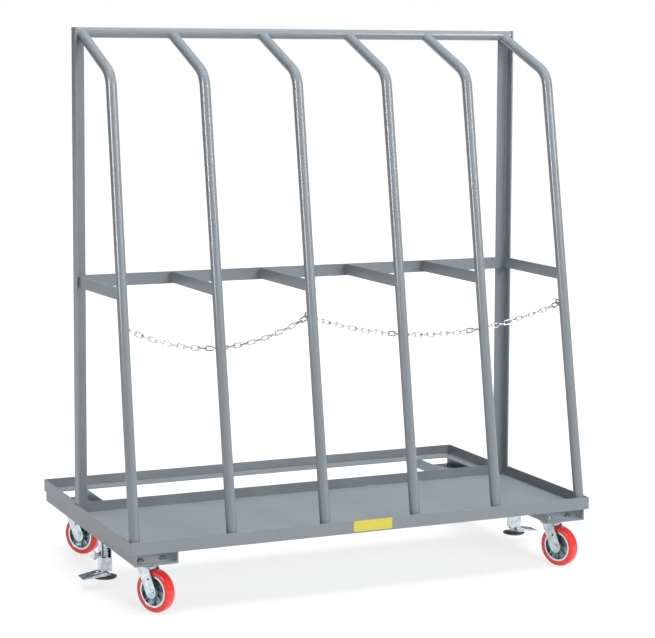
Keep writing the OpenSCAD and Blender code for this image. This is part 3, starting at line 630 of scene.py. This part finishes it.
eyes = {
    "height": 826, "offset": 7.5, "loop": 7,
    "collar": 2.9, "proud": 0.9, "slant": 1.6, "bead": 1.3,
}
eyeWelds = []
t = np.linspace(0, 2 * np.pi, 25)
back = math.sqrt(tube["radius"] ** 2 - eyes["offset"] ** 2) / math.cos(tube["lean"])
for i, side in ((1, 1), (3, -1), (3, 1), (6, -1)):
    x = tubeX(i, eyes["height"]) + side * eyes["offset"]
    for z in (eyes["height"], eyes["height"] + 2 * eyes["loop"]):
        y = tubeY(z) + back + eyes["proud"]
        collar = np.stack([x + eyes["collar"] * np.cos(t), y - side * eyes["slant"] * np.cos(t),
            z + eyes["collar"] * np.sin(t)], 1)
        eyeWelds.append(bead(collar, eyes["bead"], depthwise, closed=True))
place("eye_welds", eyeWelds, powderCoat, "rack")

label = {
    "centre": 768, "width": 128, "low": 193.5, "high": 226,
    "corner": 3, "sunk": 0.1, "proud": 0.2,
}
t = np.linspace(0, np.pi / 2, 7)
quarter = np.stack([np.cos(t), np.sin(t)], 1) * label["corner"]
halfW = label["width"] / 2 - label["corner"]
halfH = (label["high"] - label["low"]) / 2 - label["corner"]
turns = [np.array([[c, s], [-s, c]]) for c, s in ((1, 0), (0, 1), (-1, 0), (0, -1))]
signs = ((1, 1), (-1, 1), (-1, -1), (1, -1))
outline = np.concatenate(
    [quarter @ turn + (sx * halfW, sz * halfH) for turn, (sx, sz) in zip(turns, signs)])
labelZ = (label["low"] + label["high"]) / 2
labelEnds = [[label["centre"], y, labelZ] for y in (label["sunk"], -label["proud"])]
labelShape = bar(outline, *labelEnds, toRight, upward)
place("label_plate", [labelShape], vinyl, "rack", smooth=False)
print("frame welds, roots and label laid")


bolts = {
    "radius": 4.76, "across": 33.35, "along": 46, "casterX": 81.7, "casterY": (96, 818),
    "lockX": 48, "lockY": (355, 415), "nutTop": 165.8,
    "threadPitch": 1.1, "threadCrest": 0.28, "threadGroove": 0.15,
}
boltPlaces = [(bolts["casterX"] + a * bolts["across"], y + b * bolts["along"])
    for y in bolts["casterY"] for a in (-1, 1) for b in (-1, 1)]
boltPlaces += [(bolts["lockX"], y) for y in bolts["lockY"]]
boltPlaces += [(width - x, y) for x, y in boltPlaces]
offsets = [(x, y, 0) for x, y in boltPlaces]
threadZ, washerZ = bolts["nutTop"] + 0.2, channel["floor"]
ridge = [(bolts["radius"] + (bolts["threadCrest"] if k % 2 else -bolts["threadGroove"]),
    threadZ + k * bolts["threadPitch"] / 2) for k in range(4)]
thread = lathe([(3.6, threadZ)] + ridge + [(3.6, bolts["nutTop"] + 1.9)], around=20)
washer = lathe([(5.2, washerZ), (10.2, washerZ), (10.4, washerZ + 0.3), (10.4, washerZ + 1.3),
    (10.1, washerZ + 1.6), (5.2, washerZ + 1.6)], around=28)
place("bolt_threads", [rowOf(thread, offsets)], zincPlate, "rack")
place("bolt_washers", [rowOf(washer, offsets)], zincPlate, "rack")


# Shape in a fork's own frame, X along the axle, turned to the fork's angle
# and moved under its plate
def inFork(shape, corner):
    points, faces = shape
    turn = math.radians(caster["turns"][corner])
    x = points[:, 0] * math.cos(turn) - points[:, 1] * math.sin(turn)
    y = points[:, 0] * math.sin(turn) + points[:, 1] * math.cos(turn)
    centreX = bolts["casterX"] if "left" in corner else rack["width"] - bolts["casterX"]
    centreY = bolts["casterY"][0 if "front" in corner else 1]
    return np.stack([x + centreX, y + centreY, points[:, 2]], 1), faces


axlePoint = (0, -caster["trail"], caster["axleHeight"])
outer, end, hub = caster["forkHalf"], caster["forkHalf"] + caster["nut"], caster["hubHalf"]
raceSeal = [lathe([(30.1, 135.3), (32.6, 135.3), (33.3, 136), (33.3, 137.3), (30.1, 137.3)])]
washerProfile = [(6.5, outer - 0.1), (11.2, outer - 0.1), (11.6, outer + 0.3), (11.6, outer + 1.1),
    (11.3, outer + 1.4), (6.5, outer + 1.4)]
collarProfile = [(6.3, end - 0.1), (8.9, end - 0.1), (8.7, end + 1),
    (7.9, end + 1.8), (6.3, end + 1.8)]
bearingProfile = [(7.2, hub), (13.2, hub), (13.2, hub + 0.6), (12.6, hub + 1),
    (7.8, hub + 1), (7.2, hub + 0.6)]
axleWashers = [lathe(washerProfile, axlePoint, (side, 0, 0)) for side in (-1, 1)]
axleWashers += [lathe(collarProfile, axlePoint, (1, 0, 0))]
bearingSeals = [lathe(bearingProfile, axlePoint, (side, 0, 0)) for side in (-1, 1)]
for corner in corners:
    for name, shapes, material, body, slot in (
            ("race_seal_", raceSeal, rubber, "caster_", "pad_rubber"),
            ("axle_washers_", axleWashers, zincPlate, "caster_", "zinc"),
            ("bearing_seals_", bearingSeals, rubber, "wheel_", "pad_rubber")):
        place(name + corner, [inFork(s, corner) for s in shapes], material, body + corner)
print("caster details on", len(corners), "casters")


lock = {
    "x": 48, "y": 385,
    "sleeveTop": 92, "collar": 128, "springRadius": 11.8, "springWire": 0.8, "springTurns": 5,
    "pinZ": 43.85, "pinHalf": 27.5,
    "tip": (-78.0, 36.0), "treadRun": (78.0, 8.6),
    "gripHalf": 20, "gripRadius": 1.3, "gripAt": (7, 15, 23, 31),
    "releaseX": -22, "releaseZ": 98, "releaseOut": 16,
}


# Shape in the left lock's own frame, moved to it or mirrored to the right lock
def atLock(shape, side):
    points, faces = shape
    points = points + (lock["x"], lock["y"], 0)
    return (mirrored(points) if side == "right" else points), faces


# Coil that rises evenly: (R cos t, R sin t, rising with t)
def helix(radius, low, high, turns, stepsPerTurn=28):
    t = np.linspace(0, turns * 2 * np.pi, turns * stepsPerTurn)
    return np.stack([radius * np.cos(t), radius * np.sin(t), np.linspace(low, high, len(t))], 1)


# Grip ridge across the pedal's tread at point (x, z): a bar whose radius falls to 0 at its ends
# as the root of 1 - s to the power 8
def gripRidge(x, z, steps=24):
    s = np.linspace(-1, 1, steps)
    path = np.linspace([x, -lock["gripHalf"], z], [x, lock["gripHalf"], z], steps)
    return sweep(path, lock["gripRadius"] * np.sqrt(1 - s ** 8))


springWire = lock["springWire"]
springLow, springHigh = lock["sleeveTop"] + springWire, lock["collar"] - springWire
coil = helix(lock["springRadius"], springLow, springHigh, lock["springTurns"])
domeProfile = [(0, 1.9), (2.2, 1.8), (4.2, 1.2), (5.4, 0.1), (5.4, -0.4), (0, -0.4)]
headProfile = [(0, 1.2), (2, 1.1), (3.6, 0.3), (3.6, -0.3), (0, -0.3)]
domes, heads = [], []
for s in (-1, 1):
    pinEnd = (0, s * lock["pinHalf"], lock["pinZ"])
    domes.append(lathe(domeProfile, pinEnd, (0, s, 0), 32, ring=False))
    releaseEnd = (lock["releaseX"], s * lock["releaseOut"], lock["releaseZ"])
    heads.append(lathe(headProfile, releaseEnd, (0, s, 0), 24, ring=False))
gripPlaces = np.array(lock["tip"]) + np.outer(lock["gripAt"], unit(np.array(lock["treadRun"])))
grips = [gripRidge(*p) for p in gripPlaces]
padCap = lathe([(12.6, 35.8), (19.5, 35.8), (19.2, 36.6), (14, 37.4), (12.6, 37.4)])
for side in sides:
    turns = [atLock(sweep(coil, springWire), side)]
    spring = place("lock_spring_" + side, turns, zincWire, "rack")
    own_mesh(spring)
    pedalTrim = [atLock(s, side) for s in domes + grips + [padCap]]
    place("pedal_trim_" + side, pedalTrim, zincPlate, side + "_floor_lock")
    releaseTrim = [atLock(s, side) for s in heads]
    place("release_trim_" + side, releaseTrim, zincPlate, side + "_release")
print("floor lock details on both locks")


mouthX, mouthY, mouthTop = 0.6803, -0.397, 0.1855   # middle and top of a channel's front mouth

# Each soft light's place, target, size in metres, watts, and what it gives
lamps = {
    "keyFront": ((1.4, -5.7, 3.0), (0, 0, 0.6), (2.5, 1.5), 260, "shade"),
    "keyRight": ((3.4, -4.4, 3.4), (0, 0, 0.9), (1.6, 2.6), 180, "highlights"),
    "stripLeft": ((-4.1, -1.7, 2.6), (0, 0, 1.1), (0.9, 2.8), 230, "highlights"),
    "overhead": ((0, -0.8, 9.0), (0, 0, 0), (9.0, 7.0), 1400, "shade"),
    "lowCard": ((-2.4, 0.25, 0.35), (0, -0.1, 0.1), (1.6, 0.6), 3, "highlights"),
    "behind": ((1.5, 4.4, 3.2), (0, 0, 0.8), (3.0, 2.0), 130, "shade"),
    # small fills in the channels' front mouths, which would be black without them
    **{"mouthFill_" + side: ((x, mouthY, mouthTop), (x, mouthY, 0), (0.105, 0.11), 0.07, "shade")
        for side, x in (("left", -mouthX), ("right", mouthX))},
}


# Rectangular soft light, turned to its target, that gives either shade or highlights
def softbox(name, spot, target, size, power, gives):
    data = bpy.data.lights.new(name, "AREA")
    data.shape, data.size, data.size_y, data.energy = "RECTANGLE", size[0], size[1], power
    lamp = bpy.data.objects.new(name, data)
    lamp.location = spot
    lamp.rotation_euler = (Vector(target) - Vector(spot)).to_track_quat("-Z", "Y").to_euler()
    lamp.visible_camera = False
    lamp.visible_diffuse = gives == "shade"
    lamp.visible_glossy = gives == "highlights"
    bpy.context.scene.collection.objects.link(lamp)


for name, settings in lamps.items():
    softbox(name, *settings)

studio = {
    "floor": "#7C7D7E", "floorPatch": "#838485", "patchMm": 400,
    "half": 30, "glowFrom": 1.5, "glowTo": 7.0,   # metres
    "glowNear": 0.76, "glowFar": 1.0,
    "horizonLeft": "#10181F", "horizonRight": "#B4BBC1", "zenithLeft": "#4A525A",
    "white": "#FFFFFF", "strength": 0.45,
    # parts of a unit vector: how far right and how high the room turns pale
    "rightFrom": -0.8, "rightTo": 0.6, "zenithFrom": 0.75,
}

# The rack is lit by a room that is dark and blue at its left horizon, pale at its right
# and white above
world = bpy.data.worlds.new("studioWorld")
world.use_nodes = True
tree = world.node_tree
outward = addNode(tree, "SeparateXYZ", {}, {0: addNode(tree, "TexCoord").outputs["Generated"]})
rightward = between(tree, outward.outputs["X"], studio["rightFrom"], studio["rightTo"], 0, 1)
horizon = blendColours(tree, rightward, studio["horizonLeft"], studio["horizonRight"])
zenith = blendColours(tree, rightward, studio["zenithLeft"], studio["white"])
skyward = between(tree, outward.outputs["Z"], 0.0, studio["zenithFrom"], 0, 1)
room = blendColours(tree, skyward, horizon, zenith)
lit = tree.nodes["Background"]
tree.links.new(room, lit.inputs["Color"])
lit.inputs["Strength"].default_value = studio["strength"]
seen = addNode(tree, "Background", {"Color": linear(studio["white"]), "Strength": 1.0})
cameraRay = addNode(tree, "LightPath").outputs["Is Camera Ray"]
pick = addNode(tree, "MixShader", {}, {0: cameraRay, 1: lit.outputs[0], 2: seen.outputs[0]})
tree.links.new(pick.outputs[0], tree.nodes["World Output"].inputs["Surface"])
bpy.context.scene.world = world
bpy.context.scene.view_settings.view_transform = "Standard"

# White studio floor that glows more the farther it is from the lights, so that it stays white
# up to the horizon
half = studio["half"]
floorCorners = [(-half, -half, 0), (half, -half, 0), (half, half, 0), (-half, half, 0)]
floorMesh = bpy.data.meshes.new("studioFloor")
floorMesh.from_pydata(floorCorners, [], [(0, 1, 2, 3)])
floorMaterial, tree, shader, at = startMaterial("paleFloor", {
    "Roughness": 0.7, "Specular IOR Level": 0.2, "Emission Color": linear(studio["white"])})
away = addNode(tree, "VectorMath", {"operation": "LENGTH"}, {0: at}).outputs["Value"]
glow = [studio[k] for k in ("glowFrom", "glowTo", "glowNear", "glowFar")]
patches = noise(tree, at, studio["patchMm"], 3)
feed(tree, shader, {
    "Emission Strength": between(tree, away, *glow),
    "Base Color": blendColours(tree, patches, studio["floor"], studio["floorPatch"])})
floorMesh.materials.append(floorMaterial)
floor = bpy.data.objects.new("studioFloor", floorMesh)
bpy.context.scene.collection.objects.link(floor)

# The photograph's view, solved from the rack's corners: metres, degrees,
# and the lens and sensor in millimetres
view = {
    "spot": (-2.468958, -5.570010, 1.596753),
    "yaw": 23.177921, "pitch": 5.142873, "roll": 0.121887,
    "lens": 105.6356, "sensor": 36, "shift": (0.062895, -0.129608), "reach": 100,
}
yaw, pitch, roll = (math.radians(view[k]) for k in ("yaw", "pitch", "roll"))
ahead = Vector((
    math.sin(yaw) * math.cos(pitch), math.cos(yaw) * math.cos(pitch), -math.sin(pitch)))
right = Vector((math.cos(yaw), -math.sin(yaw), 0))
above = right.cross(ahead)
rolledRight = right * math.cos(roll) + above * math.sin(roll)
rolledAbove = above * math.cos(roll) - right * math.sin(roll)
turned = Matrix((rolledRight, rolledAbove, -ahead)).transposed()
cameraData = bpy.data.cameras.new("photoCamera")
cameraData.lens, cameraData.sensor_width = view["lens"], view["sensor"]
cameraData.shift_x, cameraData.shift_y = view["shift"]
cameraData.clip_end = view["reach"]
camera = bpy.data.objects.new("photoCamera", cameraData)
camera.matrix_world = Matrix.Translation(view["spot"]) @ turned.to_4x4()
bpy.context.scene.collection.objects.link(camera)
bpy.context.scene.camera = camera
print("light, floor and camera set")
